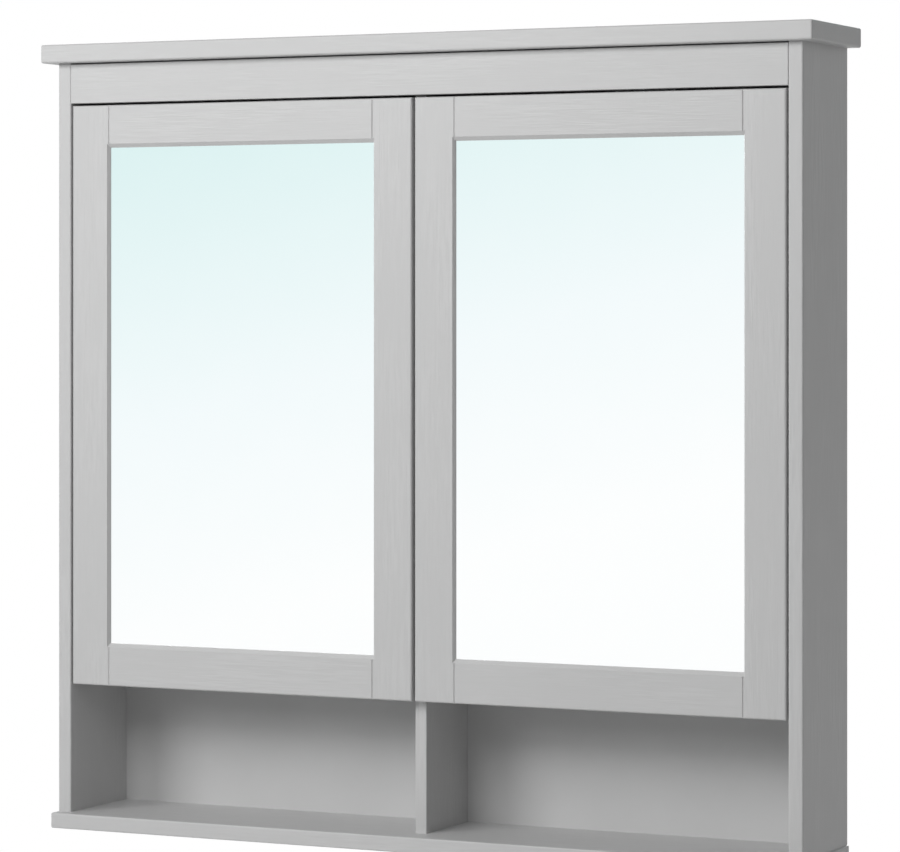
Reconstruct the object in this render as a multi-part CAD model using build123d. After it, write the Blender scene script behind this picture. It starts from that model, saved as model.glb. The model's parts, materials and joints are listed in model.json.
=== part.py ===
from build123d import *
import math
import os

# A wall cabinet with two mirror doors above two open niches, in millimetres.
# The origin is midway between the two wall screws, on the wall.
# X runs to the right seen from the front, Y runs into the wall and Z runs up.

# Case: overall sizes
height = 980.0
screw_drop = 58.0
body_width = 996.0
body_depth = 147.0
side_thickness = 18.0
partition_thickness = 15.0
case_arris = 2.0

# Case: cornice, base board and fascia
cornice_thickness = 23.0
cornice_side_overhang = 17.0
cornice_front_overhang = 15.0
cornice_radius = 2.5
base_thickness = 19.0
base_side_overhang = 2.0
base_front_overhang = 15.0
base_radius = 2.0
fascia_height = 49.0
fascia_thickness = 18.0
fascia_shadow_gap = 1.5
fascia_arris = 0.8

# Case: niches, fixed shelves, back panels and hanging rails
niche_height = 163.0
fixed_shelf_thickness = 15.0
shelf_arris = 1.0
notch_clearance = 1.0
back_thickness = 3.0
back_void = 10.0
side_groove_depth = 5.0
partition_groove_depth = 4.0
groove_clearance = 0.2
groove_end_clearance = 0.5
hanging_rail_height = 70.0

# Wall brackets and the screws that the wall takes
wall_screw_spacing = 480.0
wall_hole_radius = 4.0
bracket_length = 90.0
bracket_height = 32.0
bracket_thickness = 2.0
bracket_corner_radius = 4.0
bracket_screw_spacing = 64.0
bracket_screw_radius = 1.9
bracket_screw_length = 13.0
bracket_head_radius = 3.8
bracket_head_height = 2.0

# Glass shelves and the pins that carry them
glass_thickness = 5.0
glass_arris = 0.8
glass_end_clearance = 2.0
glass_back_clearance = 3.0
glass_swing_clearance = 3.0
glass_below_hinge = 96.5
shelf_pin_radius = 2.5
shelf_pin_reach = 8.0
shelf_pin_depth = 5.7
shelf_pin_collar_radius = 3.5
shelf_pin_collar_length = 1.5
shelf_hole_depth = 6.0
shelf_hole_pitch = 32.0
shelf_hole_steps = (-1, 0, 1)
shelf_pin_inset = 18.0

# Dowels, cam fittings and base screws
dowel_radius = 4.0
dowel_length = 30.0
dowel_in_board = 12.0
dowel_in_partition = 6.5
dowel_end_clearance = 0.3
bore_clearance = 0.05
case_dowel_from_wall = 28.0
case_dowel_from_front = 16.0
shelf_dowel_from_wall = 40.0
shelf_dowel_from_front = 31.0
fascia_dowel_spacing = 28.0
cam_from_wall = 58.0
cam_from_front = 34.0
cam_from_end = 24.0
cam_radius = 7.4
cam_length = 12.3
cam_slot_width = 1.4
cam_slot_length = 7.0
cam_slot_depth = 1.5
cam_pocket_radius = 3.3
cam_pocket_beyond = 1.0
cam_bolt_radius = 3.0
cam_bolt_in_cornice = 11.0
base_screw_from_wall = 48.0
base_screw_from_front = 36.0
base_screw_radius = 3.0
base_screw_length = 50.0
base_head_radius = 5.0
base_head_height = 3.0

# Doors: frame
door_thickness = 19.0
door_side_gap = 2.5
door_top_gap = 3.0
door_middle_gap = 4.0
door_lap = 2.5
frame_width = 53.0
stile_bevel_width = 2.6
rail_bevel_width = 4.8
bevel_depth = 4.2
sight_lip = 5.0
joint_groove = 1.2
door_arris = 2.4
door_back_arris = 0.8
joint_dowel_offsets = (13.0, 33.0)

# Doors: mirror, backing board and bumpers
rebate_width = 8.0
mirror_thickness = 4.0
mirror_clearance = 1.0
mirror_arris = 0.5
backing_clearance = 0.3
backing_screw_offset = 2.2
backing_screw_rise = 220.0
backing_screw_radius = 1.6
backing_screw_length = 12.0
backing_head_radius = 4.5
backing_head_height = 1.6
bumper_radius = 4.0
bumper_height = 1.7
bumper_play = 0.3
bumper_inset = 5.0
bumper_from_end = 25.0

# Concealed hinges
hinge_inset = 100.0
cup_radius = 17.5
cup_from_edge = 22.5
cup_depth = 13.0
cup_wall = 1.0
cup_floor = 0.8
flange_radius = 20.5
flange_thickness = 1.0
wing_near = 3.0
wing_far = 16.0
wing_half_height = 28.0
wing_corner_radius = 3.0
cup_screw_offset = 9.5
cup_screw_spacing = 48.0
cup_screw_radius = 1.7
cup_screw_length = 14.0
cup_head_radius = 3.4
cup_head_height = 1.8
hinge_pin_radius = 1.5
hinge_pin_length = 34.0
hinge_running_clearance = 0.05
hinge_pin_seat_clearance = 0.02
eye_radius = 2.4
eye_width = 24.0
strap_thickness = 1.8
strap_width = 10.0
strap_start_angle = 142.5
strap_clearance = 0.9
arm_height = 9.0
arm_width = 12.0
arm_wall = 1.5
arm_end_from_wall = 66.0
arm_screw_from_end = 8.0
arm_screw_radius = 2.0
arm_head_radius = 3.4
arm_head_height = 2.2
plate_thickness = 2.0
plate_strip_width = 18.0
plate_strip_margin = 2.0
plate_wing_width = 20.0
plate_wing_height = 48.0
plate_screw_spacing = 32.0
plate_screw_setback = 37.0
plate_screw_radius = 2.4
plate_screw_length = 12.0
plate_head_radius = 3.8
plate_head_height = 2.0

# Levels and planes worked out from the driving dimensions
front = -body_depth
outer = body_width / 2
inner = outer - side_thickness
middle = partition_thickness / 2
cornice_top_level = screw_drop
cornice_under = cornice_top_level - cornice_thickness
underside = cornice_top_level - height
base_top = underside + base_thickness
shelf_under = base_top + niche_height
shelf_top = shelf_under + fixed_shelf_thickness
fascia_top = cornice_under - fascia_shadow_gap
fascia_bottom = fascia_top - fascia_height
back_rear = -back_void
back_face = back_rear - back_thickness
door_back = front + door_thickness
partition_front = door_back + bumper_height + bumper_play
door_top = fascia_bottom - door_top_gap
door_bottom = shelf_under - door_lap
door_hinge_edge = inner - door_side_gap
door_meeting_edge = door_middle_gap / 2
sight_left = door_meeting_edge + frame_width
sight_right = door_hinge_edge - frame_width
sight_bottom = door_bottom + frame_width
sight_top = door_top - frame_width
pivot_x = door_hinge_edge - cup_from_edge
pivot_y = front + door_thickness / 2
swing_radius = math.hypot(cup_from_edge, door_thickness / 2)
hinge_levels = {"upper": door_top - hinge_inset, "lower": door_bottom + hinge_inset}

# Rows of fittings: one measured from the wall and one from the partition's front
case_dowel_rows = (-case_dowel_from_wall, partition_front + case_dowel_from_front)
shelf_dowel_rows = (-shelf_dowel_from_wall, partition_front + shelf_dowel_from_front)
cam_rows = (-cam_from_wall, partition_front + cam_from_front)
base_screw_rows = (-base_screw_from_wall, partition_front + base_screw_from_front)

# Glass shelves: clear of the open door's edge, and the lower one midway under the upper one
glass_back = back_face - glass_back_clearance
glass_front = pivot_y + swing_radius + glass_swing_clearance
upper_glass_level = hinge_levels["upper"] - glass_below_hinge
lower_glass_level = (shelf_top + upper_glass_level) / 2


def block(x, y, z):
    """A box between the two given values on each axis."""
    centre = Pos((x[0] + x[1]) / 2, (y[0] + y[1]) / 2, (z[0] + z[1]) / 2)
    return centre * Box(x[1] - x[0], y[1] - y[0], z[1] - z[0])


def rod_x(y, z, radius, start, end):
    return Pos((start + end) / 2, y, z) * Rot(0, 90, 0) * Cylinder(radius, end - start)


def rod_y(x, z, radius, start, end):
    return Pos(x, (start + end) / 2, z) * Rot(90, 0, 0) * Cylinder(radius, end - start)


def rod_z(x, y, radius, start, end):
    return Pos(x, y, (start + end) / 2) * Cylinder(radius, end - start)


def rounded(shape, radius, *places):
    """Round the straight edges whose middles lie at the given coordinates."""
    chosen = []
    for edge in shape.edges():
        centre = edge.center()
        spot = {"x": centre.X, "y": centre.Y, "z": centre.Z}
        for place in places:
            if all(abs(spot[axis] - value) < 0.001 for axis, value in place.items()):
                chosen.append(edge)
    return fillet(chosen, radius)


def opposite(shape):
    """The same piece on the other side of the cabinet."""
    return mirror(shape, about=Plane.YZ)


def boxes_meet(first, second):
    a = first.bounding_box()
    b = second.bounding_box()
    return (a.min.X < b.max.X and b.min.X < a.max.X
            and a.min.Y < b.max.Y and b.min.Y < a.max.Y
            and a.min.Z < b.max.Z and b.min.Z < a.max.Z)


def bored(shape, cutters):
    """Take away each cutter that reaches the piece."""
    for cutter in cutters:
        if boxes_meet(shape, cutter):
            shape = shape - cutter
    return shape


def group(shapes):
    """Several separate solids of one kind in one node."""
    return Compound([solid for shape in shapes for solid in shape.solids()])


def both_sides(shapes):
    """The shapes of the right half and of the middle, and those of the right half mirrored."""
    return shapes + [opposite(shape) for shape in shapes if shape.bounding_box().min.X > 0]


# Fasteners of the right half and of the middle, each with the hole that it needs
case_bores = []
dowels = []
cam_bolts = []
cam_nuts = []
base_screws = []


def fit_dowel(make, start, end):
    """Place a dowel and note its bore; make gives a rod for a radius, a start and an end."""
    dowels.append(make(dowel_radius, start, end))
    bore_start = start - dowel_end_clearance
    bore_end = end + dowel_end_clearance
    case_bores.append(make(dowel_radius + bore_clearance, bore_start, bore_end))


def upright_dowels(x):
    """Dowels from the top and the foot of an upright panel into cornice and base."""
    for row in case_dowel_rows:
        def rod(radius, start, end, row=row):
            return rod_z(x, row, radius, start, end)
        top_end = cornice_under + dowel_in_board
        fit_dowel(rod, top_end - dowel_length, top_end)
        foot_end = base_top - dowel_in_board
        fit_dowel(rod, foot_end, foot_end + dowel_length)


def cam_fitting(x, face, row):
    """A cam nut let into a panel's face, and the bolt that it draws the cornice down with."""
    level = cornice_under - cam_from_end
    far = face + cam_length if x > face else face - cam_length
    low, high = min(face, far), max(face, far)
    nut = rod_x(row, level, cam_radius, low, high)
    pocket_low = level - cam_pocket_beyond
    nut -= rod_z(x, row, cam_pocket_radius, pocket_low, level + cam_radius)
    slot_end = face + math.copysign(cam_slot_depth, far - face)
    slot_x = (min(face, slot_end), max(face, slot_end))
    half_width = cam_slot_width / 2
    half_length = cam_slot_length / 2
    for half_y, half_z in ((half_width, half_length), (half_length, half_width)):
        slot = block(slot_x, (row - half_y, row + half_y), (level - half_z, level + half_z))
        nut -= slot
    cam_nuts.append(nut)
    bolt_top = cornice_under + cam_bolt_in_cornice
    cam_bolts.append(rod_z(x, row, cam_bolt_radius, level, bolt_top))
    case_bores.append(rod_x(row, level, cam_radius + bore_clearance, low, high))
    case_bores.append(rod_z(x, row, cam_bolt_radius + bore_clearance, level, bolt_top))


def base_screw(x, row):
    """A flush-headed screw up through the base board into an upright panel's foot."""
    head_top = underside + base_head_height
    tip = underside + base_screw_length
    base_screws.append(rod_z(x, row, base_head_radius, underside, head_top)
                       + rod_z(x, row, base_screw_radius, underside, tip))
    head_bore = base_head_radius + bore_clearance
    case_bores.append(rod_z(x, row, head_bore, underside, head_top))
    case_bores.append(rod_z(x, row, base_screw_radius + bore_clearance, underside, tip))


side_middle = inner + side_thickness / 2
for panel_x, cam_face in ((side_middle, inner), (0.0, middle)):
    upright_dowels(panel_x)
    for row in cam_rows:
        cam_fitting(panel_x, cam_face, row)
    for row in base_screw_rows:
        base_screw(panel_x, row)

shelf_middle = shelf_under + fixed_shelf_thickness / 2
for row in shelf_dowel_rows:
    def shelf_rod(radius, start, end, row=row):
        return rod_x(row, shelf_middle, radius, start, end)
    outer_end = inner + dowel_in_board
    fit_dowel(shelf_rod, outer_end - dowel_length, outer_end)
    partition_end = middle - dowel_in_partition
    fit_dowel(shelf_rod, partition_end, partition_end + dowel_length)

fascia_middle = (fascia_top + fascia_bottom) / 2
for level in (fascia_middle - fascia_dowel_spacing / 2, fascia_middle + fascia_dowel_spacing / 2):
    def fascia_rod(radius, start, end, level=level):
        return rod_x(front + fascia_thickness / 2, level, radius, start, end)
    fascia_end = inner + dowel_in_board
    fit_dowel(fascia_rod, fascia_end - dowel_length, fascia_end)


# Wall bracket, its screws and the holes behind it
bracket_x = wall_screw_spacing / 2
bracket_face = back_face - bracket_thickness
bracket = block((bracket_x - bracket_length / 2, bracket_x + bracket_length / 2),
                (bracket_face, back_face), (-bracket_height / 2, bracket_height / 2))
bracket = fillet(bracket.edges().filter_by(Axis.Y), bracket_corner_radius)
wall_hole = rod_y(bracket_x, 0.0, wall_hole_radius, bracket_face, 0.0)
case_bores.append(wall_hole)
bracket -= wall_hole
bracket_screws = []
for offset in (-bracket_screw_spacing / 2, bracket_screw_spacing / 2):
    x = bracket_x + offset
    tip = bracket_face + bracket_screw_length
    head = rod_y(x, 0.0, bracket_head_radius, bracket_face - bracket_head_height, bracket_face)
    bracket_screws.append(head + rod_y(x, 0.0, bracket_screw_radius, bracket_face, tip))
    bore = rod_y(x, 0.0, bracket_screw_radius + bore_clearance, bracket_face, tip)
    case_bores.append(bore)
    bracket -= bore


# Glass shelves and their pins
def shelf_pin(wall, side, y, level):
    """A pin in a wall at x = wall, reaching out towards side, which is 1 or -1."""
    ends = sorted((wall - side * shelf_pin_depth, wall + side * shelf_pin_reach))
    collar = sorted((wall, wall + side * shelf_pin_collar_length))
    return (rod_x(y, level, shelf_pin_radius, *ends)
            + rod_x(y, level, shelf_pin_collar_radius, *collar))


shelf_pins = []
glass_shelves = []
for shelf_level in (lower_glass_level, upper_glass_level):
    glass = block((middle + glass_end_clearance, inner - glass_end_clearance),
                  (glass_front, glass_back), (shelf_level, shelf_level + glass_thickness))
    glass_shelves.append(chamfer(glass.edges(), glass_arris))
    pin_level = shelf_level - shelf_pin_radius
    for wall, side in ((inner, -1), (middle, 1)):
        for y in (glass_back - shelf_pin_inset, glass_front + shelf_pin_inset):
            shelf_pins.append(shelf_pin(wall, side, y, pin_level))
            for step in shelf_hole_steps:
                level = pin_level + step * shelf_hole_pitch
                hole_ends = sorted((wall, wall - side * shelf_hole_depth))
                hole_radius = shelf_pin_radius + bore_clearance
                case_bores.append(rod_x(y, level, hole_radius, *hole_ends))


# Right-hand hinges: the arm and its plate stay on the case
strap_inner = swing_radius + strap_clearance
strap_outer = strap_inner + strap_thickness
plate_face = inner - plate_thickness
arm_front = pivot_y + strap_inner
arm_back = -arm_end_from_wall
arm_crown = plate_face - arm_height
arm_screw_y = arm_back - arm_screw_from_end
plate_screw_y = door_back + plate_screw_setback


def hinge_arm(level):
    """A cranked arm: an eye on the pin, a strap round the door's edge, and a channel."""
    bend = Circle(strap_outer) - Circle(strap_inner)
    reach = 2 * strap_outer
    angle = math.radians(strap_start_angle)
    wedge = make_face(Polyline((0, 0), (0, reach),
                               (reach * math.cos(angle), reach * math.sin(angle)), close=True))
    mean = (strap_inner + strap_outer) / 2
    spoke = Rot(0, 0, strap_start_angle) * Pos(mean / 2, 0) * Rectangle(mean, strap_thickness)
    run = plate_face - pivot_x
    straight = Pos(run / 2, mean) * Rectangle(run, strap_thickness)
    outline = (bend & wedge) + spoke + straight
    strap = extrude(Pos(pivot_x, pivot_y, level - strap_width / 2) * outline, strap_width)
    eye = rod_z(pivot_x, pivot_y, eye_radius, level - eye_width / 2, level + eye_width / 2)
    half = arm_width / 2
    channel = block((arm_crown, plate_face), (arm_front, arm_back), (level - half, level + half))
    hollow_half = half - arm_wall
    channel -= block((arm_crown + arm_wall, plate_face),
                     (arm_front + strap_thickness, arm_back - arm_wall),
                     (level - hollow_half, level + hollow_half))
    arm = strap + eye + channel
    arm -= rod_z(pivot_x, pivot_y, hinge_pin_radius + hinge_running_clearance,
                 level - eye_width / 2, level + eye_width / 2)
    return arm - rod_x(arm_screw_y, level, arm_screw_radius + bore_clearance,
                       arm_crown, plate_face)


def hinge_plate(level):
    """The winged plate that is screwed to the side panel."""
    half_strip = plate_strip_width / 2
    strip = block((plate_face, inner), (arm_front + plate_strip_margin,
                                        arm_back + plate_strip_margin),
                  (level - half_strip, level + half_strip))
    half_wing = plate_wing_height / 2
    wing = block((plate_face, inner),
                 (plate_screw_y - plate_wing_width / 2, plate_screw_y + plate_wing_width / 2),
                 (level - half_wing, level + half_wing))
    wing = fillet(wing.edges().filter_by(Axis.X), wing_corner_radius)
    plate = strip + wing
    for offset in (-plate_screw_spacing / 2, plate_screw_spacing / 2):
        bore_radius = plate_screw_radius + bore_clearance
        plate -= rod_x(plate_screw_y, level + offset, bore_radius, plate_face, inner)
    return plate - rod_x(arm_screw_y, level, arm_screw_radius + bore_clearance,
                         plate_face, inner)


hinge_arms = {}
hinge_plates = {}
hinge_plate_screws = []
hinge_arm_screws = []
for place, level in hinge_levels.items():
    hinge_arms[place] = hinge_arm(level)
    hinge_plates[place] = hinge_plate(level)
    for offset in (-plate_screw_spacing / 2, plate_screw_spacing / 2):
        z = level + offset
        tip = plate_face + plate_screw_length
        head = rod_x(plate_screw_y, z, plate_head_radius, plate_face - plate_head_height, plate_face)
        hinge_plate_screws.append(head + rod_x(plate_screw_y, z, plate_screw_radius,
                                               plate_face, tip))
        case_bores.append(rod_x(plate_screw_y, z, plate_screw_radius + bore_clearance, inner, tip))
    head = rod_x(arm_screw_y, level, arm_head_radius, arm_crown - arm_head_height, arm_crown)
    hinge_arm_screws.append(head + rod_x(arm_screw_y, level, arm_screw_radius, arm_crown, inner))


# Case panels
all_case_bores = both_sides(case_bores)
groove_y = (back_face - groove_clearance, back_rear + groove_clearance)
upright_z = (base_top, cornice_under)

side_panel = block((inner, outer), (front, 0.0), upright_z)
side_panel = rounded(side_panel, case_arris, {"x": outer, "y": front}, {"x": inner, "y": front})
side_panel -= block((inner, inner + side_groove_depth), groove_y, upright_z)
side_panel = bored(side_panel, case_bores)

partition = block((-middle, middle), (partition_front, 0.0), upright_z)
partition = rounded(partition, shelf_arris, {"x": middle, "y": partition_front},
                    {"x": -middle, "y": partition_front})
partition_groove = block((middle - partition_groove_depth, middle), groove_y, upright_z)
partition -= partition_groove
partition -= opposite(partition_groove)
partition = bored(partition, all_case_bores)


def edge_board(side_overhang, front_overhang, low, high, radius):
    """A board over or under the case whose front and end edges are rounded."""
    x = outer + side_overhang
    y = front - front_overhang
    board = block((-x, x), (y, 0.0), (low, high))
    board = rounded(board, radius, {"x": -x, "y": y}, {"x": x, "y": y},
                    {"y": y, "z": low}, {"y": y, "z": high}, {"x": -x, "z": low},
                    {"x": -x, "z": high}, {"x": x, "z": low}, {"x": x, "z": high})
    return bored(board, all_case_bores)


cornice = edge_board(cornice_side_overhang, cornice_front_overhang,
                     cornice_under, cornice_top_level, cornice_radius)
base_board = edge_board(base_side_overhang, base_front_overhang,
                        underside, base_top, base_radius)

fascia = block((-inner, inner), (front, front + fascia_thickness), (fascia_bottom, fascia_top))
fascia = rounded(fascia, fascia_arris, {"x": -inner, "y": front}, {"x": inner, "y": front},
                 {"y": front, "z": fascia_bottom}, {"y": front, "z": fascia_top})
fascia = bored(fascia, all_case_bores)

fixed_shelf = block((middle, inner), (partition_front, back_face), (shelf_under, shelf_top))
fixed_shelf = rounded(fixed_shelf, shelf_arris, {"y": partition_front, "z": shelf_under},
                      {"y": partition_front, "z": shelf_top})
notch_radius = swing_radius + notch_clearance
fixed_shelf -= rod_z(pivot_x, pivot_y, notch_radius, shelf_under, shelf_top)
fixed_shelf -= block((pivot_x, inner), (front, pivot_y + notch_radius), (shelf_under, shelf_top))
fixed_shelf = bored(fixed_shelf, case_bores)

back_panel = block((middle - partition_groove_depth + groove_end_clearance,
                    inner + side_groove_depth - groove_end_clearance),
                   (back_face, back_rear), upright_z)
back_panel = bored(back_panel, case_bores)

rail_bottom = cornice_under - hanging_rail_height
hanging_rail = block((middle, inner), (back_rear, 0.0), (rail_bottom, cornice_under))
hanging_rail = bored(hanging_rail, case_bores)


# Right door: the opening is cut through the joined frame, from the front and the back
def bevel_outline(share, y):
    """The sight opening's outline in the plane at y, grown by a share of the bevels' widths."""
    left = sight_left - share * stile_bevel_width
    right = sight_right + share * stile_bevel_width
    low = sight_bottom - share * rail_bevel_width
    high = sight_top + share * rail_bevel_width
    return Wire.make_polygon([(left, y, low), (right, y, low), (right, y, high), (left, y, high)])


overcut = 1.0
bevel_cut = Solid.make_loft([bevel_outline(1.0 + overcut / bevel_depth, front - overcut),
                             bevel_outline(0.0, front + bevel_depth)], ruled=True)
sight_cut = block((sight_left, sight_right), (front, door_back), (sight_bottom, sight_top))
rebate_cut = block((sight_left - rebate_width, sight_right + rebate_width),
                   (front + sight_lip, door_back),
                   (sight_bottom - rebate_width, sight_top + rebate_width))

door_bores = []
door_dowels = []
backing_screws = []
cup_screws = []
hinge_pins = []
hinge_cups = {}

for joint_x in (sight_left, sight_right):
    for offset in joint_dowel_offsets:
        for level in (door_top - offset, door_bottom + offset):
            half = dowel_length / 2
            door_dowels.append(rod_x(pivot_y, level, dowel_radius, joint_x - half, joint_x + half))
            bore_half = half + dowel_end_clearance
            door_bores.append(rod_x(pivot_y, level, dowel_radius + bore_clearance,
                                    joint_x - bore_half, joint_x + bore_half))


def joint_line(joint_x, low, high):
    """The fine groove that shows where a rail meets a stile."""
    side = joint_groove * math.sqrt(2)
    return Pos(joint_x, front, (low + high) / 2) * Rot(0, 0, 45) * Box(side, side, high - low)


joint_lines = []
for joint_x in (sight_left, sight_right):
    joint_lines.append(joint_line(joint_x, sight_top + rail_bevel_width, door_top + overcut))
    joint_lines.append(joint_line(joint_x, door_bottom - overcut, sight_bottom - rail_bevel_width))


def backing_screw(x, z):
    """A washer-headed screw in the frame whose head laps the backing board's edge."""
    tip = door_back - backing_screw_length
    head_end = door_back + backing_head_height
    backing_screws.append(rod_y(x, z, backing_head_radius, door_back, head_end)
                          + rod_y(x, z, backing_screw_radius, tip, door_back))
    bore_radius = backing_screw_radius + bore_clearance
    door_bores.append(rod_y(x, z, bore_radius, tip, door_back))


screw_reach = rebate_width + backing_screw_offset
door_centre_x = (sight_left + sight_right) / 2
door_centre_z = (sight_bottom + sight_top) / 2
for level in (door_centre_z - backing_screw_rise, door_centre_z, door_centre_z + backing_screw_rise):
    backing_screw(sight_left - screw_reach, level)
    backing_screw(sight_right + screw_reach, level)
backing_screw(door_centre_x, sight_bottom - screw_reach)
backing_screw(door_centre_x, sight_top + screw_reach)


def hinge_cup(level):
    """The cup let into the stile's back, with its flange, screw wings and pin seats."""
    flange_face = door_back + flange_thickness
    half_wing = wing_half_height
    wings = block((pivot_x - wing_far, pivot_x - wing_near), (door_back, flange_face),
                  (level - half_wing, level + half_wing))
    wings = fillet(wings.edges().filter_by(Axis.Y), wing_corner_radius)
    cup = (rod_y(pivot_x, level, cup_radius - bore_clearance, door_back - cup_depth, flange_face)
           + rod_y(pivot_x, level, flange_radius, door_back, flange_face) + wings)
    cup -= rod_y(pivot_x, level, cup_radius - cup_wall,
                 door_back - cup_depth + cup_floor, flange_face)
    cup -= rod_z(pivot_x, pivot_y, hinge_pin_radius + hinge_pin_seat_clearance,
                 level - cup_radius, level + cup_radius)
    for offset in (-cup_screw_spacing / 2, cup_screw_spacing / 2):
        cup -= rod_y(pivot_x - cup_screw_offset, level + offset,
                     cup_screw_radius + bore_clearance, door_back, flange_face)
    return cup


for place, level in hinge_levels.items():
    hinge_cups[place] = hinge_cup(level)
    half = hinge_pin_length / 2
    hinge_pins.append(rod_z(pivot_x, pivot_y, hinge_pin_radius, level - half, level + half))
    door_bores.append(rod_y(pivot_x, level, cup_radius, door_back - cup_depth, door_back))
    for offset in (-cup_screw_spacing / 2, cup_screw_spacing / 2):
        x = pivot_x - cup_screw_offset
        z = level + offset
        flange_face = door_back + flange_thickness
        tip = flange_face - cup_screw_length
        head = rod_y(x, z, cup_head_radius, flange_face, flange_face + cup_head_height)
        cup_screws.append(head + rod_y(x, z, cup_screw_radius, tip, flange_face))
        door_bores.append(rod_y(x, z, cup_screw_radius + bore_clearance, tip, door_back))


def frame_member(x, z, outer_x, outer_z):
    """A stile or a rail; outer_x and outer_z list its edges on the door's outline."""
    member = block(x, (front, door_back), z)
    front_places = [{"x": value, "y": front} for value in outer_x]
    front_places += [{"z": value, "y": front} for value in outer_z]
    back_places = [{"x": value, "y": door_back} for value in outer_x]
    back_places += [{"z": value, "y": door_back} for value in outer_z]
    member = rounded(member, door_arris, *front_places)
    member = rounded(member, door_back_arris, *back_places)
    return bored(member, [bevel_cut, sight_cut, rebate_cut] + joint_lines + door_bores)


ends = (door_bottom, door_top)
hinge_stile = frame_member((sight_right, door_hinge_edge), ends, [door_hinge_edge], ends)
meeting_stile = frame_member((door_meeting_edge, sight_left), ends, [door_meeting_edge], ends)
top_rail = frame_member((sight_left, sight_right), (sight_top, door_top), [], [door_top])
bottom_rail = frame_member((sight_left, sight_right), (door_bottom, sight_bottom), [],
                           [door_bottom])

mirror_margin = rebate_width - mirror_clearance
mirror_back = front + sight_lip + mirror_thickness
mirror_plate = block((sight_left - mirror_margin, sight_right + mirror_margin),
                     (front + sight_lip, mirror_back),
                     (sight_bottom - mirror_margin, sight_top + mirror_margin))
mirror_plate = chamfer(mirror_plate.edges(), mirror_arris)
backing_margin = rebate_width - backing_clearance
backing_board = block((sight_left - backing_margin, sight_right + backing_margin),
                      (mirror_back, door_back),
                      (sight_bottom - backing_margin, sight_top + backing_margin))

bumpers = []
bumper_x = door_meeting_edge + bumper_inset
for level in (door_bottom + bumper_from_end, door_top - bumper_from_end):
    bumpers.append(rod_y(bumper_x, level, bumper_radius, door_back, door_back + bumper_height))


# Every piece under its own name
pieces = {
    "cornice_top": cornice,
    "front_fascia": fascia,
    "centre_partition": partition,
    "bottom_board": base_board,
}

right_case_pieces = {
    "side_panel": side_panel,
    "fixed_shelf": fixed_shelf,
    "back_panel": back_panel,
    "hanging_rail": hanging_rail,
    "wall_bracket": bracket,
    "glass_shelf_lower": glass_shelves[0],
    "glass_shelf_upper": glass_shelves[1],
    "hinge_arm_upper": hinge_arms["upper"],
    "hinge_arm_lower": hinge_arms["lower"],
    "hinge_plate_upper": hinge_plates["upper"],
    "hinge_plate_lower": hinge_plates["lower"],
}
for name, shape in right_case_pieces.items():
    pieces[name + "_right"] = shape
    pieces[name + "_left"] = opposite(shape)

right_door_pieces = {
    "hinge_stile": hinge_stile,
    "meeting_stile": meeting_stile,
    "top_rail": top_rail,
    "bottom_rail": bottom_rail,
    "mirror": mirror_plate,
    "backing_board": backing_board,
    "hinge_cup_upper": hinge_cups["upper"],
    "hinge_cup_lower": hinge_cups["lower"],
    "cup_screws": group(cup_screws),
    "hinge_pins": group(hinge_pins),
    "joint_dowels": group(door_dowels),
    "backing_screws": group(backing_screws),
    "bumpers": group(bumpers),
}
for name, shape in right_door_pieces.items():
    pieces["door_right_" + name] = shape
    pieces["door_left_" + name] = opposite(shape)

fastener_groups = {
    "dowels": dowels,
    "cam_bolts": cam_bolts,
    "cam_nuts": cam_nuts,
    "bottom_board_screws": base_screws,
    "bracket_screws": bracket_screws,
    "shelf_pins": shelf_pins,
    "hinge_plate_screws": hinge_plate_screws,
    "hinge_arm_screws": hinge_arm_screws,
}
for name, shapes in fastener_groups.items():
    pieces[name] = group(both_sides(shapes))

os.makedirs("parts", exist_ok=True)
for name, shape in pieces.items():
    export_step(shape, f"parts/{name}.step")
print(len(pieces), "nodes")
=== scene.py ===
# %% [markdown]
# # A mirror cabinet for a bathroom wall
#
# The boards, doors, hinges and screws come from the construction model, at their real size.
# Here they get their finishes, the small details that a maker would notice, a stage, lamps and
# a camera. The first cell loads the construction model. Its meshes are never moved.

# %% Load the construction model
import json
import math

import bmesh
import bpy
from mathutils import Matrix, Vector


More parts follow.
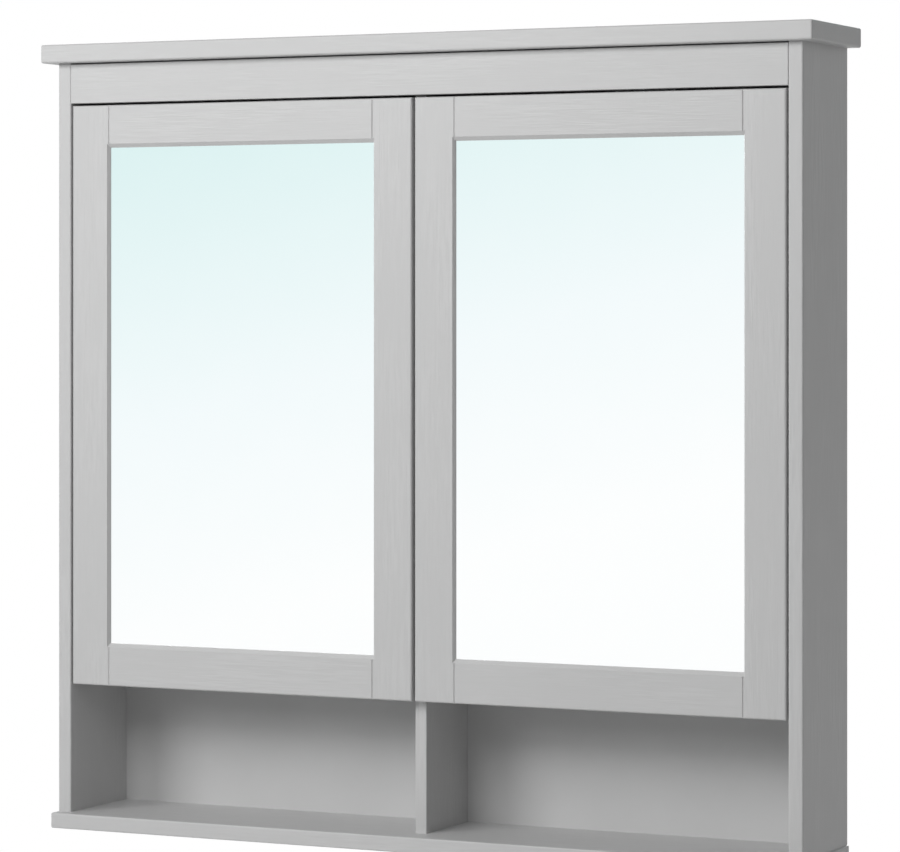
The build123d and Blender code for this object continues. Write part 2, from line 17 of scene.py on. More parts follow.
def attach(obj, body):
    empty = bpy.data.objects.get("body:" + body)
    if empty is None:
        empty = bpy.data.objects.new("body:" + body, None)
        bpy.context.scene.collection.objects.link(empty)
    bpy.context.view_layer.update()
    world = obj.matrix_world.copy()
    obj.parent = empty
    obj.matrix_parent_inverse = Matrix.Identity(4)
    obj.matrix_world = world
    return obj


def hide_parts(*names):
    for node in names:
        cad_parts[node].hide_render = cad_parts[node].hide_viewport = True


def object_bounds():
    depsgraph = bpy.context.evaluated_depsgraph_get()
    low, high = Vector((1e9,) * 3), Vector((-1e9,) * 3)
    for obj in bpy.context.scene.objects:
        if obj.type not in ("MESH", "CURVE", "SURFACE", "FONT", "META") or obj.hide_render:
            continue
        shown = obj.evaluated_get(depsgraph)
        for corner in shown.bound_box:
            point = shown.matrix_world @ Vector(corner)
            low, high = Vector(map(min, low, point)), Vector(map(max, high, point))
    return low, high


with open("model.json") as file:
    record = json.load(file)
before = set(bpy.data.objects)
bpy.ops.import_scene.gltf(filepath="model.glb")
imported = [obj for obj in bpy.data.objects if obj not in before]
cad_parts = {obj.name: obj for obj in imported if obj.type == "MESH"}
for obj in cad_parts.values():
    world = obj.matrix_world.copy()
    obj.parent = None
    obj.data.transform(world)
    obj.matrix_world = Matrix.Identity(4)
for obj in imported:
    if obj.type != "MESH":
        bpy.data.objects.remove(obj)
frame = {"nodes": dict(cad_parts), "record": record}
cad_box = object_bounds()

# %% [markdown]
# ## Helpers for finishes
#
# A finish is a material: a small network of nodes that ends in a Principled shader. All the
# patterns are worked out from Object coordinates, so a pattern moves with its object.

# %% Helpers for node networks
def add(tree, kind, sockets=None, **properties):
    """Add one shader node, with its properties and its sockets' values set."""
    made = tree.nodes.new("ShaderNode" + kind)
    for name, value in properties.items():
        setattr(made, name, value)
    for name, value in (sockets or {}).items():
        made.inputs[name].default_value = value
    return made


def new_finish(name, **sockets):
    """A material with one Principled shader; the keywords name its sockets with underscores."""
    finish = bpy.data.materials.new(name)
    finish.use_nodes = True
    tree = finish.node_tree
    tree.nodes.clear()
    values = {key.replace("_", " "): value for key, value in sockets.items()}
    shader = add(tree, "BsdfPrincipled", values)
    output = add(tree, "OutputMaterial")
    tree.links.new(shader.outputs["BSDF"], output.inputs["Surface"])
    return finish, tree, shader


def scaled_place(tree, cells):
    """Object coordinates in pattern cells; cells per metre are one number or X, Y and Z."""
    scale = cells if isinstance(cells, tuple) else (cells, cells, cells)
    coordinates = add(tree, "TexCoord")
    mapping = add(tree, "Mapping", {"Scale": scale})
    tree.links.new(coordinates.outputs["Object"], mapping.inputs["Vector"])
    return mapping.outputs["Vector"]


def noise(tree, cells, detail=2.0, roughness=0.5):
    """A noise value between 0 and 1, with so many cells per metre."""
    pattern = add(tree, "TexNoise", {"Scale": 1.0, "Detail": detail, "Roughness": roughness})
    tree.links.new(scaled_place(tree, cells), pattern.inputs["Vector"])
    return pattern.outputs["Fac"]


def spread(tree, value, low, high, start=0.35, end=0.65):
    """Stretch a pattern's usual range, start to end, over low to high."""
    remap = add(tree, "MapRange", {"From Min": start, "From Max": end,
                                   "To Min": low, "To Max": high})
    tree.links.new(value, remap.inputs["Value"])
    return remap.outputs["Result"]


def combine(tree, operation, *values):
    """Join two or three values, which are patterns or numbers, with one Math node."""
    joined = add(tree, "Math", operation=operation)
    for socket, value in zip(joined.inputs, values):
        if isinstance(value, (int, float)):
            socket.default_value = value
        else:
            tree.links.new(value, socket)
    return joined.outputs["Value"]


def two_tone(tree, shader, pattern, dark, light):
    """Colour the shader from dark to light as the pattern goes from 0 to 1."""
    # A Mix node keeps sockets for every kind of value, so the colour ones are picked by type.
    mix = add(tree, "Mix", data_type="RGBA")
    colours = [socket for socket in mix.inputs if socket.type == "RGBA"]
    for socket, value in zip(colours, (dark, light)):
        socket.default_value = (*value, 1.0)
    tree.links.new(pattern, mix.inputs["Factor"])
    mixed = [socket for socket in mix.outputs if socket.type == "RGBA"]
    tree.links.new(mixed[0], shader.inputs["Base Color"])


def relief(tree, shader, height, depth, strength):
    """Raise the surface by the pattern, depth metres between its low and its high places."""
    bump = add(tree, "Bump", {"Strength": strength, "Distance": depth})
    tree.links.new(height, bump.inputs["Height"])
    tree.links.new(bump.outputs["Normal"], shader.inputs["Normal"])


def shades(colour, spread_share):
    """A darker and a lighter shade either side of a colour."""
    return [tuple(channel * factor for channel in colour)
            for factor in (1.0 - spread_share, 1.0 + spread_share)]


# %% [markdown]
# ## Grey paint on pine
#
# The cabinet is pine under a thin satin paint, so the grain still shows as fine ridges, about
# 3 mm apart and a few centimetres long, that come and go along the board. One noise stretched
# along the grain draws these streaks, a finer one draws the pores, and a broad one lets the
# streaks fade in places. The paint's own film adds a faint unevenness. An image of wood would
# repeat and would need unwrapping. Upright boards have their grain along Z, and level boards
# along X.

# %% Painted pine
paint_grey = (0.600, 0.600, 0.600)
streaks_across = 330.0
streaks_along = 24.0
pores_across = 900.0
pores_along = 30.0
patches_across = 22.0
patches_along = 5.0
film_cells = 240.0
cloud_cells = 3.0
pore_share = 0.35
film_share = 0.2
grain_share = 0.75


def along_grain(upright, across, along):
    """A noise scale that is stretched along the grain, which is Z on uprights and else X."""
    return (across, across, along) if upright else (along, across, across)


def painted_pine(name, upright, tone_share, depth):
    """Satin grey paint on pine, with the grain's share of the tone and its depth in metres."""
    finish, tree, shader = new_finish(name, IOR=1.46)
    streak_noise = noise(tree, along_grain(upright, streaks_across, streaks_along), 1.0)
    streaks = spread(tree, streak_noise, 0.0, 1.0, 0.38, 0.62)
    pores = spread(tree, noise(tree, along_grain(upright, pores_across, pores_along)), 0.0, 1.0)
    patch_noise = noise(tree, along_grain(upright, patches_across, patches_along))
    patches = spread(tree, patch_noise, 0.1, 1.0, 0.40, 0.62)
    grain_lines = combine(tree, "MULTIPLY", streaks, patches)
    grain = combine(tree, "MULTIPLY_ADD", pores, pore_share, grain_lines)
    height = combine(tree, "MULTIPLY_ADD", noise(tree, film_cells, 1.0), film_share, grain)
    cloud = spread(tree, noise(tree, cloud_cells), -0.2, 0.2)
    tone = combine(tree, "MULTIPLY_ADD", grain, grain_share, cloud)
    two_tone(tree, shader, tone, *shades(paint_grey, tone_share))
    tree.links.new(spread(tree, pores, 0.42, 0.56, 0.0, 1.0), shader.inputs["Roughness"])
    relief(tree, shader, height, depth, 0.55)
    return finish


upright_paint = painted_pine("painted_pine_upright", True, tone_share=0.028, depth=0.00026)
level_paint = painted_pine("painted_pine_level", False, tone_share=0.022, depth=0.00018)
print("paint finishes:", upright_paint.name, level_paint.name)

# %% [markdown]
# ## Fibreboard
#
# The thin backs and the boards behind the mirrors are fibreboard. One side is printed or painted
# the same grey and is smoother than the pine. A fine even noise gives it the slight orange peel
# of a rolled film.

# %% Painted fibreboard
def fibreboard(name, colour, roughness):
    """A rolled film of paint, even in colour, with a fine orange peel."""
    finish, tree, shader = new_finish(name, IOR=1.45)
    peel = noise(tree, 420.0)
    clouds = noise(tree, 9.0, 3.0)
    two_tone(tree, shader, spread(tree, clouds, 0.0, 1.0), *shades(colour, 0.015))
    rough = spread(tree, peel, roughness - 0.05, roughness + 0.06)
    tree.links.new(rough, shader.inputs["Roughness"])
    relief(tree, shader, peel, 0.00012, 0.4)
    return finish


back_finish = fibreboard("painted_back", (0.595, 0.595, 0.595), roughness=0.50)
backing_finish = fibreboard("painted_backing_board", (0.580, 0.580, 0.575), roughness=0.58)
print("fibreboard finishes:", back_finish.name, backing_finish.name)

# %% [markdown]
# ## Bare pine and beech
#
# The hanging rails are bare pine, and the dowels are beech. Bare pine has wide pale rings with
# thin darker ones between them. Beech is even, with short dark flecks.

# %% Bare woods
def bare_pine():
    """Rings that run along X, with fine fibres over them."""
    finish, tree, shader = new_finish("bare_pine", IOR=1.45)
    rings = add(tree, "TexWave", {"Scale": 42.0, "Distortion": 9.0, "Detail": 2.0,
                                  "Detail Scale": 0.6}, bands_direction="Z", wave_profile="SAW")
    tree.links.new(scaled_place(tree, (0.05, 1.0, 1.0)), rings.inputs["Vector"])
    fibres = noise(tree, (18.0, 700.0, 700.0), 3.0)
    ring_tone = combine(tree, "MULTIPLY", rings.outputs["Fac"], 0.6)
    tone = combine(tree, "MULTIPLY_ADD", fibres, 0.4, ring_tone)
    two_tone(tree, shader, tone, (0.70, 0.49, 0.28), (0.60, 0.37, 0.18))
    tree.links.new(spread(tree, fibres, 0.55, 0.70), shader.inputs["Roughness"])
    relief(tree, shader, tone, 0.0002, 0.5)
    return finish


def beech():
    """An even wood with short dark flecks."""
    finish, tree, shader = new_finish("beech", IOR=1.45)
    flecks = noise(tree, (900.0, 900.0, 300.0), 3.0)
    two_tone(tree, shader, spread(tree, flecks, 0.0, 1.0), (0.66, 0.44, 0.27), (0.52, 0.32, 0.18))
    tree.links.new(spread(tree, flecks, 0.50, 0.65), shader.inputs["Roughness"])
    relief(tree, shader, flecks, 0.0001, 0.5)
    return finish


pine_finish = bare_pine()
beech_finish = beech()
print("bare woods:", pine_finish.name, beech_finish.name)

# %% [markdown]
# ## Mirror and shelf glass
#
# A mirror is silver behind a sheet of float glass. One metallic shader with almost no roughness
# stands for both, and a very shallow, wide relief gives the slight waviness of float glass. The
# shelves are clear tempered glass, so they use transmission.

# %% Mirror and glass
def silvered_glass():
    """The mirrors' silver, faintly green, with a trace of haze and waviness."""
    finish, tree, shader = new_finish("silvered_glass", Metallic=1.0, Specular_IOR_Level=0.5)
    haze = noise(tree, 14.0)
    two_tone(tree, shader, haze, (0.972, 0.990, 0.990), (0.990, 0.998, 0.998))
    tree.links.new(spread(tree, haze, 0.006, 0.016), shader.inputs["Roughness"])
    waves = noise(tree, (7.0, 7.0, 4.0), 0.0)
    relief(tree, shader, waves, 0.0004, 0.02)
    return finish


def clear_glass():
    """The shelves' glass, faintly green, with a few wiped smears."""
    finish, tree, shader = new_finish("tempered_glass", Transmission_Weight=1.0, IOR=1.52)
    smears = noise(tree, (11.0, 40.0, 11.0))
    two_tone(tree, shader, smears, (0.86, 0.955, 0.93), (0.90, 0.975, 0.955))
    tree.links.new(spread(tree, smears, 0.0, 0.03), shader.inputs["Roughness"])
    return finish


mirror_finish = silvered_glass()
glass_finish = clear_glass()
print("glass finishes:", mirror_finish.name, glass_finish.name)

# %% [markdown]
# ## Metals and rubber
#
# The hinges are pressed steel with a bright nickel plating, the wall plates and screws are zinc
# plated, and the cam nuts are bare zinc castings. They share one recipe with different colours,
# roughness and scratch directions: drawn or rolled metal has fine lines along one axis, and a
# casting has even grains.

# %% Metals and rubber
def metal(name, colour, roughness, scratch_cells, depth):
    """A metal with cloudy plating and fine scratches, depth metres deep."""
    finish, tree, shader = new_finish(name, Metallic=1.0)
    scratches = noise(tree, scratch_cells, 3.0, 0.6)
    clouds = noise(tree, 60.0)
    two_tone(tree, shader, spread(tree, clouds, 0.0, 1.0), *shades(colour, 0.05))
    rough = combine(tree, "ADD", spread(tree, scratches, -0.06, 0.08),
                    spread(tree, clouds, roughness - 0.03, roughness + 0.04))
    tree.links.new(rough, shader.inputs["Roughness"])
    relief(tree, shader, scratches, depth, 0.4)
    return finish


def soft_pad():
    """The bumpers' milky rubber."""
    finish, tree, shader = new_finish("soft_pad", IOR=1.45, Transmission_Weight=0.35)
    bloom = noise(tree, 800.0)
    two_tone(tree, shader, spread(tree, bloom, 0.0, 1.0), (0.74, 0.74, 0.73), (0.82, 0.82, 0.81))
    tree.links.new(spread(tree, bloom, 0.45, 0.60), shader.inputs["Roughness"])
    relief(tree, shader, bloom, 0.00005, 0.4)
    return finish


nickel_finish = metal("nickel_plated_steel", (0.70, 0.68, 0.65), roughness=0.24,
                      scratch_cells=(900.0, 60.0, 900.0), depth=0.00003)
plate_finish = metal("zinc_plated_sheet", (0.64, 0.66, 0.68), roughness=0.36,
                     scratch_cells=(50.0, 900.0, 900.0), depth=0.00004)
casting_finish = metal("zinc_casting", (0.50, 0.51, 0.52), roughness=0.48,
                       scratch_cells=700.0, depth=0.00010)
screw_finish = metal("zinc_plated_screws", (0.66, 0.67, 0.68), roughness=0.30,
                     scratch_cells=1200.0, depth=0.00003)
pad_finish = soft_pad()
print("metal finishes:", nickel_finish.name, plate_finish.name, casting_finish.name,
      screw_finish.name)
print("rubber finish:", pad_finish.name)

# %% [markdown]
# ## Give every construction piece its finish
#
# The construction model's record names a finish for each piece. The painted pieces need one thing
# more, the way their grain runs: boards and rails that lie level have it along X.

# %% Assign the finishes
finish_for_slot = {
    "painted_back": back_finish, "backing_board": backing_finish, "raw_pine": pine_finish,
    "beech_dowel": beech_finish, "mirror": mirror_finish, "shelf_glass": glass_finish,
    "hinge_steel": nickel_finish, "zinc_plate": plate_finish, "zinc_casting": casting_finish,
    "screw_steel": screw_finish, "bumper": pad_finish,
}
level_words = ("cornice", "bottom_board", "fascia", "fixed_shelf", "rail")
slot_of = {row["node"]: row["material_slot"] for row in frame["record"]["subparts"]}


def finish_of(node):
    """The finish of a node's slot, or the paint that suits the way the node's grain runs."""
    if slot_of[node] == "painted_wood":
        return level_paint if any(word in node for word in level_words) else upright_paint
    return finish_for_slot[slot_of[node]]


for node_name, piece in frame["nodes"].items():
    piece.data.materials.clear()
    piece.data.materials.append(finish_of(node_name))
print("finishes given to", len(frame["nodes"]), "pieces")

# %% [markdown]
# ## Where the screws are
#
# The construction model has each screw as a plain stepped rod. A finished screw will take its
# place, so this cell measures every rod: the top of its head, the way it points and its sizes.
# The rods of one node are found by walking from corner to corner along the edges.

# %% Measure the screws
merge_distance = 1e-6
rim_share = 0.98
shank_limit = 0.9


def loose_shapes(mesh):
    """The separate shapes of a mesh, each as a list of its corners' places."""
    shape = bmesh.new()
    shape.from_mesh(mesh)
    bmesh.ops.remove_doubles(shape, verts=shape.verts, dist=merge_distance)
    waiting = set(shape.verts)
    found = []
    while waiting:
        reached = [waiting.pop()]
        places = []
        while reached:
            corner = reached.pop()
            places.append(corner.co.copy())
            for edge in corner.link_edges:
                neighbour = edge.other_vert(corner)
                if neighbour in waiting:
                    waiting.remove(neighbour)
                    reached.append(neighbour)
        found.append(places)
    shape.free()
    return found


def measure_screw(places):
    """A stepped rod's head top, outward direction, head and shank radius, head height, length."""
    low = Vector([min(place[axis] for place in places) for axis in range(3)])
    high = Vector([max(place[axis] for place in places) for axis in range(3)])
    centre = (low + high) / 2
    along = max(range(3), key=lambda axis: high[axis] - low[axis])
    across = [axis for axis in range(3) if axis != along]

    def radius(place):
        return math.hypot(*(place[axis] - centre[axis] for axis in across))

    radii = [radius(place) for place in places]
    head_radius = max(radii)
    shank_radius = max(reach for reach in radii if reach < shank_limit * head_radius)
    head = [place[along] for place in places if radius(place) > rim_share * head_radius]
    head_height = max(head) - min(head)
    length = high[along] - low[along]
    outward = 1.0 if max(head) > high[along] - merge_distance else -1.0
    top = centre.copy()
    top[along] = high[along] if outward > 0 else low[along]
    direction = Vector((0.0, 0.0, 0.0))
    direction[along] = outward
    return top, direction, head_radius, shank_radius, head_height, length


screw_homes = {"hinge_plate_screws": "cabinet", "hinge_arm_screws": "cabinet",
               "bracket_screws": "cabinet", "bottom_board_screws": "cabinet",
               "door_left_cup_screws": "door_left", "door_right_cup_screws": "door_right",
               "door_left_backing_screws": "door_left", "door_right_backing_screws": "door_right"}
measured_screws = {node: [measure_screw(places) for places in
                          loose_shapes(frame["nodes"][node].data)] for node in screw_homes}
print("screws:", {node: len(rows) for node, rows in measured_screws.items()})

# %% [markdown]
# ## Cross-head screws
#
# A real screw has a domed head with a cross recess and a thread. The head and the core are one
# profile spun round the axis, with rounded edges that catch the light. The cross is a small
# tapered punch that a Boolean modifier takes out of the head. The thread is a single tooth spun
# with a little drop at each step, which winds it down the core. The core hides its inner edge.
#
# The sizes are shares, so that one recipe fits every screw: the dome and the cross are shares of
# the head's radius and height, the core and the pitch of the shank's radius, and the tip and the
# thread's root and end of the core's radius.

# %% Make one screw
profile_steps = 24
thread_steps = 12
dome_profile = ((0.0, 0.0), (0.45, 0.03), (0.75, 0.16), (0.93, 0.42), (1.0, 0.72), (1.0, 0.90),
                (0.96, 1.0))
cross_reach = 0.52
cross_width = 0.20
cross_depth = 0.72
cross_above = 0.2
cross_taper = 0.6
core_share = 0.74
pitch_share = 0.85
taper_share = 1.5
tip_share = 0.2
tip_radius_share = 0.25
thread_root_share = 0.97
thread_end_share = 1.6


def turned(profile):
    """A closed solid turned from a profile of radius and depth pairs, first to last on the axis."""
    shape = bmesh.new()
    corners = [shape.verts.new((radius, 0.0, -depth)) for radius, depth in profile]
    edges = [shape.edges.new(pair) for pair in zip(corners, corners[1:])]
    bmesh.ops.spin(shape, geom=corners + edges, cent=(0.0, 0.0, 0.0), axis=(0.0, 0.0, 1.0),
                   angle=math.tau, steps=profile_steps, use_merge=True)
    bmesh.ops.remove_doubles(shape, verts=shape.verts, dist=merge_distance)
    bmesh.ops.recalc_face_normals(shape, faces=shape.faces)
    return shape


def cross_punch(reach, width, depth):
    """A tapered cross that stands in the head from a little above it down to the depth."""
    punch = bmesh.new()
    above = cross_above * depth
    middle = Matrix.Translation((0.0, 0.0, (above - depth) / 2))
    for long_axis in (0, 1):
        stretch = [width, width, depth + above]
        stretch[long_axis] = 2 * reach
        place = middle @ Matrix.Diagonal((*stretch, 1.0))
        bar = bmesh.ops.create_cube(punch, size=1.0, matrix=place)["verts"]
        for corner in bar:
            if corner.co.z < 0.0:
                corner.co.x *= cross_taper
                corner.co.y *= cross_taper
    return punch


def mesh_object(name, shape):
    """Turn a bmesh into an object at the origin."""
    data = bpy.data.meshes.new(name)
    shape.to_mesh(data)
    shape.free()
    made = bpy.data.objects.new(name, data)
    bpy.context.scene.collection.objects.link(made)
    return made


def cut_away(body, cutters):
    """The body's mesh with the cutters' shape taken out; both objects are used up."""
    boolean = body.modifiers.new("recess", "BOOLEAN")
    boolean.operation = "DIFFERENCE"
    boolean.solver = "EXACT"
    boolean.use_self = True
    boolean.object = cutters
    graph = bpy.context.evaluated_depsgraph_get()
    mesh = bpy.data.meshes.new_from_object(body.evaluated_get(graph))
    bpy.data.objects.remove(body)
    bpy.data.objects.remove(cutters)
    return mesh


def wind_thread(shape, radius, core, start, end):
    """Wind a thread round the core, from the depth at start to the depth at end."""
    pitch = pitch_share * radius
    turns = int((end - start) / pitch)
    tooth = [shape.verts.new((reach, 0.0, -start - drop * pitch))
             for reach, drop in ((core, 0.0), (radius, 0.5), (core, 1.0))]
    edges = [shape.edges.new(pair) for pair in zip(tooth, tooth[1:])]
    bmesh.ops.spin(shape, geom=tooth + edges, cent=(0.0, 0.0, 0.0), axis=(0.0, 0.0, 1.0),
                   dvec=(0.0, 0.0, -pitch / thread_steps), angle=math.tau * turns,
                   steps=thread_steps * turns)


def screw(head_radius, shank_radius, head_height, length):
    """One finished screw, its head's top at the origin and its tip below."""
    core = core_share * shank_radius
    profile = [(radius * head_radius, depth * head_height) for radius, depth in dome_profile]
    profile += [(core, head_height), (core, length - taper_share * core),
                (tip_radius_share * core, length - tip_share * core), (0.0, length)]
    blank = mesh_object("screw_blank", turned(profile))
    punch = cross_punch(cross_reach * head_radius, cross_width * head_radius,
                        cross_depth * head_height)
    cut = cut_away(blank, mesh_object("screw_punch", punch))
    shape = bmesh.new()
    shape.from_mesh(cut)
    wind_thread(shape, shank_radius, thread_root_share * core, head_height,
                length - thread_end_share * core)
    bmesh.ops.remove_doubles(shape, verts=shape.verts, dist=merge_distance)
    return shape


# %% [markdown]
# Each kind of screw is made once and then copied to its places. Neighbours are turned by
# different angles, as driven screws are. The finished screws ride on the body that they hold to,
# and stand in for the plain rods.

# %% Set the screws in their places
driven_turn = math.radians(37.0)
sharp_angle = math.radians(38.0)


def driven(spot, direction, turn):
    """The place of a screw with its top at the spot, pointing outwards and turned about itself."""
    return (Matrix.Translation(spot) @ direction.to_track_quat("Z", "Y").to_matrix().to_4x4()
            @ Matrix.Rotation(turn, 4, "Z"))


def steel_copies(name, pattern, places):
    """One steel piece with a copy of the pattern mesh at each place."""
    copies = bmesh.new()
    for place in places:
        before = len(copies.verts)
        copies.from_mesh(pattern)
        copies.verts.ensure_lookup_table()
        bmesh.ops.transform(copies, matrix=place, verts=copies.verts[before:])
    piece = mesh_object(name, copies)
    piece.data.shade_smooth()
    piece.data.set_sharp_from_angle(angle=sharp_angle)
    piece.data.materials.append(screw_finish)
    return piece


def set_screws(node, rows):
    """Replace a node's plain rods by finished screws."""
    shape = screw(*rows[0][2:])
    pattern = bpy.data.meshes.new("screw_pattern")
    shape.to_mesh(pattern)
    shape.free()
    places = [driven(top, direction, number * driven_turn)
              for number, (top, direction, *_) in enumerate(rows)]
    piece = steel_copies(node + "_finished", pattern, places)
    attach(piece, screw_homes[node])
    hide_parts(node)
    return len(piece.data.polygons)


for node_name, rows in measured_screws.items():
    print(node_name, "faces:", set_screws(node_name, rows))

# %% [markdown]
# ## Hinge adjusters
#
# On each hinge arm, a small slotted grub screw in front of the fixing screw shifts the door
# sideways. It sits in the crown of the arm, a little proud of it. A turned head with a rounded
# rim and a slot cut across it is enough, because nothing more of the real one shows.

# %% Make the hinge adjusters
adjuster_radius = 0.0028
adjuster_height = 0.0012
adjuster_sunk = 0.0012
adjuster_from_fixing = 0.018
adjuster_turn = 0.6
adjuster_profile = ((0.0, 0.0), (0.8, 0.0), (0.95, 0.1), (1.0, 0.25), (1.0, 1.0), (0.0, 1.0))
slot_width = 0.0008


def adjuster():
    """One adjuster, its top at the origin."""
    depth = adjuster_height + adjuster_sunk
    profile = [(radius * adjuster_radius, drop * depth) for radius, drop in adjuster_profile]
    blank = mesh_object("adjuster_blank", turned(profile))
    slot = bmesh.new()
    size = Matrix.Diagonal((3 * adjuster_radius, slot_width, adjuster_height, 1.0))
    bmesh.ops.create_cube(slot, size=1.0, matrix=size)
    return cut_away(blank, mesh_object("adjuster_slot", slot))


adjuster_places = []
for number, (top, direction, *sizes) in enumerate(measured_screws["hinge_arm_screws"]):
    arm_crown = top - direction * sizes[2]
    spot = arm_crown + direction * adjuster_height - Vector((0.0, adjuster_from_fixing, 0.0))
    adjuster_places.append(driven(spot, direction, adjuster_turn + number * driven_turn))
adjuster_piece = steel_copies("hinge_adjusters", adjuster(), adjuster_places)
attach(adjuster_piece, "cabinet")
print("hinge adjusters:", len(adjuster_places))

# %% [markdown]
# ## Floor, sky and lamps
#
# The cabinet hangs with its underside 1.1 m above a pale floor, as it does in a bathroom. There
# is no wall, so that the back can be seen too. The floor glows a little for camera and mirror
# rays only, so that it is white round the soft shadow and yet throws no light on the cabinet. A
# ray that has already met something matt counts as light, even if it then meets a mirror:
# otherwise the mirrors would throw the white surroundings back on their frames.

# %% The floor
hanging_height = 1.1
floor_radius = 6.0
floor_glow = 0.72


def mirrored(tree):
    """1 for rays that come from a mirror or gloss and have met nothing matt before."""
    path = add(tree, "LightPath")
    not_matt = combine(tree, "LESS_THAN", path.outputs["Diffuse Depth"], 0.5)
    return combine(tree, "MULTIPLY", path.outputs["Is Glossy Ray"], not_matt)


def seen_plainly(tree):
    """1 for camera and glass rays."""
    path = add(tree, "LightPath")
    return combine(tree, "MAXIMUM", path.outputs["Is Camera Ray"],
                   path.outputs["Is Transmission Ray"])


def pale_floor():
    """A matt pale floor that glows where it is seen, directly or in a mirror."""
    finish, tree, shader = new_finish("pale_floor", IOR=1.3, Roughness=0.9,
                                      Emission_Color=(1.0, 1.0, 1.0, 1.0))
    speckle = noise(tree, 30.0, 3.0)
    two_tone(tree, shader, speckle, (0.78, 0.78, 0.78), (0.82, 0.82, 0.82))
    seen = combine(tree, "MAXIMUM", seen_plainly(tree), mirrored(tree))
    glow = combine(tree, "MULTIPLY", seen, floor_glow)
    tree.links.new(glow, shader.inputs["Emission Strength"])
    return finish


floor_mesh = bmesh.new()
bmesh.ops.create_circle(floor_mesh, cap_ends=True, segments=96, radius=floor_radius,
                        matrix=Matrix.Translation((0.0, 0.0, cad_box[0].z - hanging_height)))
floor_data = bpy.data.meshes.new("floor")
floor_mesh.to_mesh(floor_data)
floor_mesh.free()
floor_data.materials.append(pale_floor())
floor = bpy.data.objects.new("floor", floor_data)
bpy.context.scene.collection.objects.link(floor)
print("floor", round(hanging_height, 2), "m below the cabinet")

# %% [markdown]
# The sky does three jobs. Seen directly it is plain white. In mirrors and glossy paint it is
# white low down, turns to a pale cool blue higher up, which is the shading that the mirrors show,
# and ends in a neutral pale grey. For lighting it is a weak even fill, so that the lamps shape
# the cabinet.

# %% The sky
sky_fill = 0.215
sky_side_weight = -0.30
sky_stops = ((0.0133, (1.0, 1.0, 1.0)), (0.0933, (0.915, 0.965, 0.978)),
             (0.1933, (0.735, 0.895, 0.890)), (0.3333, (0.62, 0.83, 0.84)),
             (0.65, (0.80, 0.81, 0.82)))
sky_range = (0.05, 0.80)

world = bpy.data.worlds.new("studio")
bpy.context.scene.world = world
world.use_nodes = True
sky = world.node_tree
sky.nodes.clear()
sky_direction = add(sky, "TexCoord")
axes = add(sky, "SeparateXYZ")
sky.links.new(sky_direction.outputs["Generated"], axes.inputs["Vector"])
leaning = combine(sky, "MULTIPLY_ADD", axes.outputs["X"], sky_side_weight, axes.outputs["Z"])
ramp = add(sky, "ValToRGB")
while len(ramp.color_ramp.elements) < len(sky_stops):
    ramp.color_ramp.elements.new(1.0)
for element, (position, colour) in zip(ramp.color_ramp.elements, sky_stops):
    element.position = position
    element.color = (*colour, 1.0)
sky.links.new(spread(sky, leaning, 0.0, 1.0, *sky_range), ramp.inputs["Fac"])
reflected = add(sky, "Background")
sky.links.new(ramp.outputs["Color"], reflected.inputs["Color"])
plain = add(sky, "Background", {"Color": (1.0, 1.0, 1.0, 1.0)})
fill = add(sky, "Background", {"Color": (1.0, 1.0, 1.0, 1.0), "Strength": sky_fill})
lit = add(sky, "MixShader")
sky.links.new(mirrored(sky), lit.inputs["Fac"])
sky.links.new(fill.outputs["Background"], lit.inputs[1])
sky.links.new(reflected.outputs["Background"], lit.inputs[2])
shown = add(sky, "MixShader")
sky.links.new(seen_plainly(sky), shown.inputs["Fac"])
sky.links.new(lit.outputs["Shader"], shown.inputs[1])
sky.links.new(plain.outputs["Background"], shown.inputs[2])
sky_output = add(sky, "OutputWorld")
sky.links.new(shown.outputs["Shader"], sky_output.inputs["Surface"])
print("sky fill:", sky_fill)

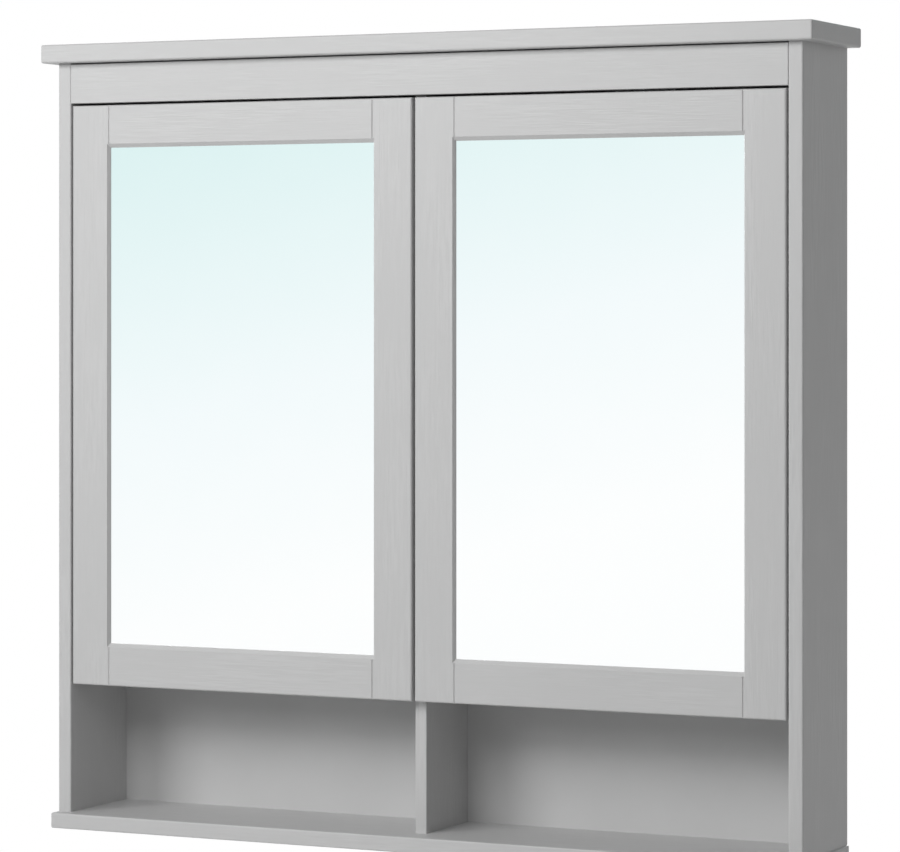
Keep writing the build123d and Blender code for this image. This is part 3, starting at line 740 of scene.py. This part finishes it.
# %% [markdown]
# Two lamps stand in front, left of the middle, so the right outer side stays darker. The large
# key lamp is far away and even. The near lamp stands close to the doors' middle and falls off
# towards the ends. Both hang above what the mirrors show to the camera. A third lamp, behind,
# lights the back.

# %% The lamps
def area_lamp(name, place, aim, size, power):
    """A square lamp of the given size in metres and power in watts, turned to face its aim."""
    data = bpy.data.lights.new(name, "AREA")
    data.shape = "SQUARE"
    data.size = size
    data.energy = power
    lamp = bpy.data.objects.new(name, data)
    lamp.location = place
    lamp.rotation_euler = (Vector(aim) - Vector(place)).to_track_quat("-Z", "Y").to_euler()
    bpy.context.scene.collection.objects.link(lamp)
    return lamp


cabinet_centre = (cad_box[0] + cad_box[1]) / 2
key_lamp = area_lamp("key_lamp", (-2.4, -3.4, 0.9), cabinet_centre, size=1.6, power=61.0)
near_lamp = area_lamp("near_lamp", (-0.3, -2.2, 0.7), cabinet_centre, size=1.0, power=20.5)
back_lamp = area_lamp("back_lamp", (0.0, 2.8, 0.2), cabinet_centre, size=0.8, power=45.0)
print("lamps:", key_lamp.name, near_lamp.name, back_lamp.name)

# %% [markdown]
# ## Camera
#
# The camera stands 4.6 m away, 25 degrees to the right, level, a little above the cabinet's
# middle. A long lens keeps the verticals straight, and a small shift frames the cabinet without
# tilting the camera. The lens and the shift are worked out for a picture of 900 by 852 pixels.

# %% The camera
picture_width = 900.0
picture_height = 852.0
focal_pixels = 3692.5
centre_pixel = (526.4, 297.8)
sensor_width = 36.0
camera_place = (1.9931, -4.0980, -0.2587)
camera_tilt = math.radians(90.0)
camera_turn = math.radians(25.010)
camera_data = bpy.data.cameras.new("camera")
camera_data.sensor_width = sensor_width
camera_data.lens = focal_pixels / picture_width * camera_data.sensor_width
camera_data.shift_x = (picture_width / 2 - centre_pixel[0]) / picture_width
camera_data.shift_y = (centre_pixel[1] - picture_height / 2) / picture_width
camera = bpy.data.objects.new("camera", camera_data)
camera.location = camera_place
camera.rotation_euler = (camera_tilt, 0.0, camera_turn)
bpy.context.scene.collection.objects.link(camera)
bpy.context.scene.camera = camera
bpy.context.scene.view_settings.view_transform = "Standard"
print("camera lens:", round(camera_data.lens, 1), "mm")
